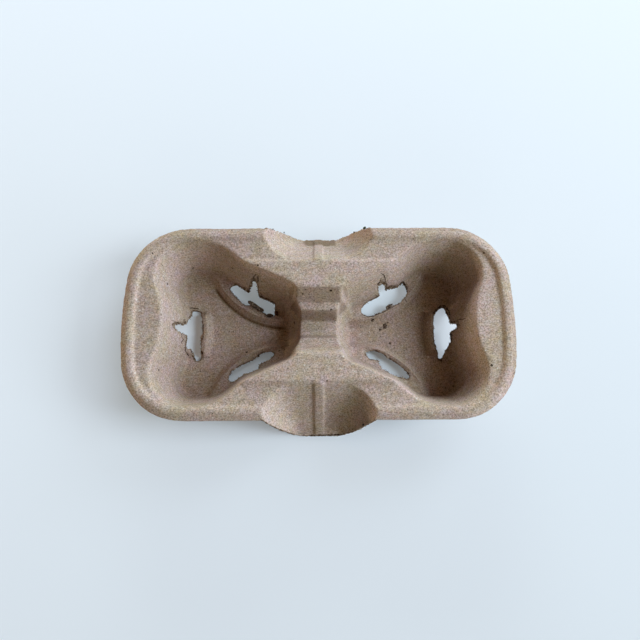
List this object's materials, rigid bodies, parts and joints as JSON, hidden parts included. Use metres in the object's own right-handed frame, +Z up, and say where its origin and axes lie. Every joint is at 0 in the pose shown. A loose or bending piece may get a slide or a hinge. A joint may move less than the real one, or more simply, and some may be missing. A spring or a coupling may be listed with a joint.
{
  "type": "moulded pulp cup carrier",
  "caption": "Low tray pressed from one sheet of recycled pulp, with two lobed cup wells, torn slots, a stepped bridge and a notch in each long side.",
  "frame": {"origin": "middle of the carrier's footprint, on the surface that it stands on", "axes": "+X along the carrier from one well to the other, +Y across it towards a notch, +Z up out of the wells"},
  "size_m": [0.2156, 0.12, 0.039],
  "materials": {
    "moulded_pulp": "matt grey-brown recycled fibre with fine dark and pale specks"
  },
  "bodies": {
    "root": {"cup_carrier": "moulded_pulp"}
  },
  "joints": []
}
